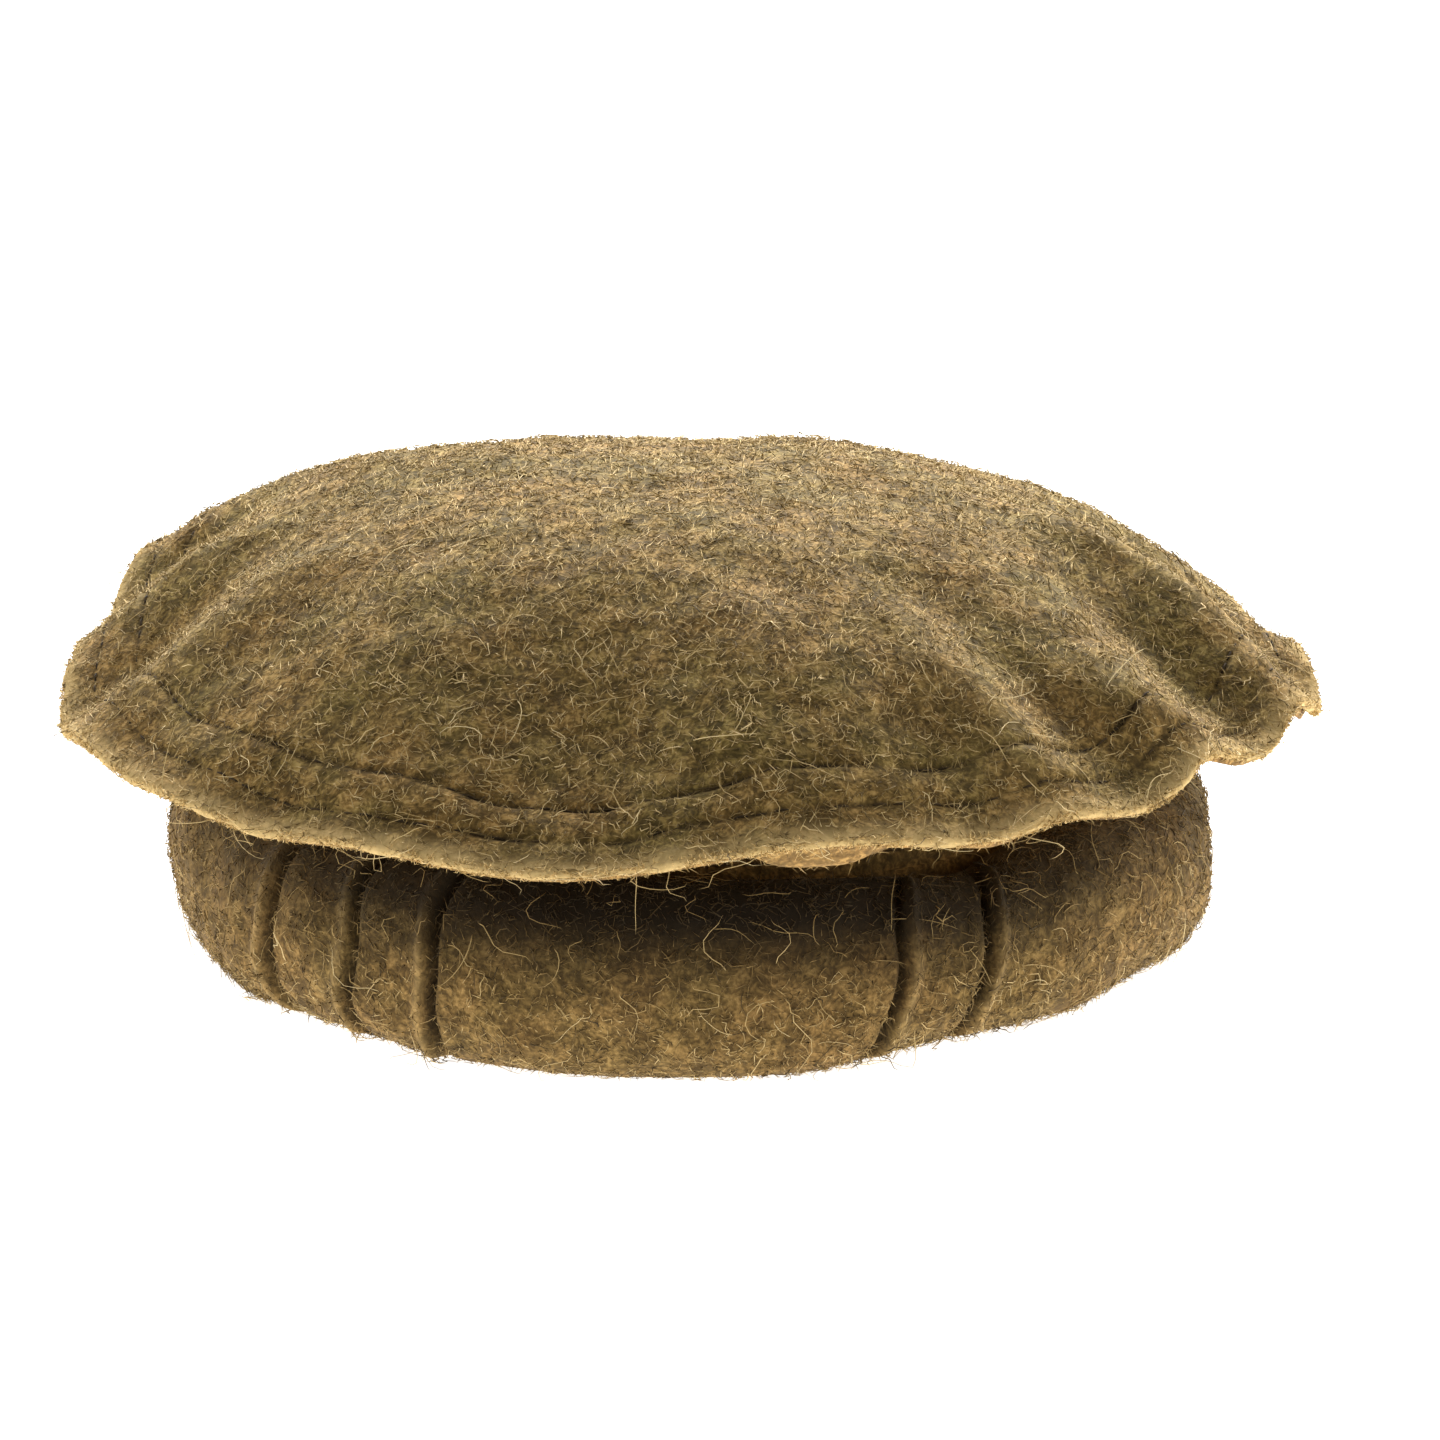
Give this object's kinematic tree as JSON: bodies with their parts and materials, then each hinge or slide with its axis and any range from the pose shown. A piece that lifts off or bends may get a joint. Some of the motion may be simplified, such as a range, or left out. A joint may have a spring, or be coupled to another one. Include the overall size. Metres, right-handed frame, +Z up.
{
  "type": "pakol hat",
  "caption": "Soft round wool hat: a wide domed crown with folds and a stitched, overhanging rim, over a thick rolled band with pleats.",
  "frame": {"origin": "bottom centre of the hat's box, where the band's lowest ring rests on a surface", "axes": "+Z up through the crown, -Y to the front, +X to the right of someone who looks at the front"},
  "size_m": [0.2974, 0.2966, 0.1097],
  "materials": {
    "crown_wool": "felted olive-brown wool, mottled, with short fuzz and pale hairs",
    "underside_wool": "the same felted wool, slightly warmer brown",
    "band_wool": "felted brown wool, mottled, with short fuzz and pale hairs"
  },
  "bodies": {
    "root": {"crown_top": "crown_wool", "crown_underside": "underside_wool", "rolled_band": "band_wool"}
  },
  "joints": []
}
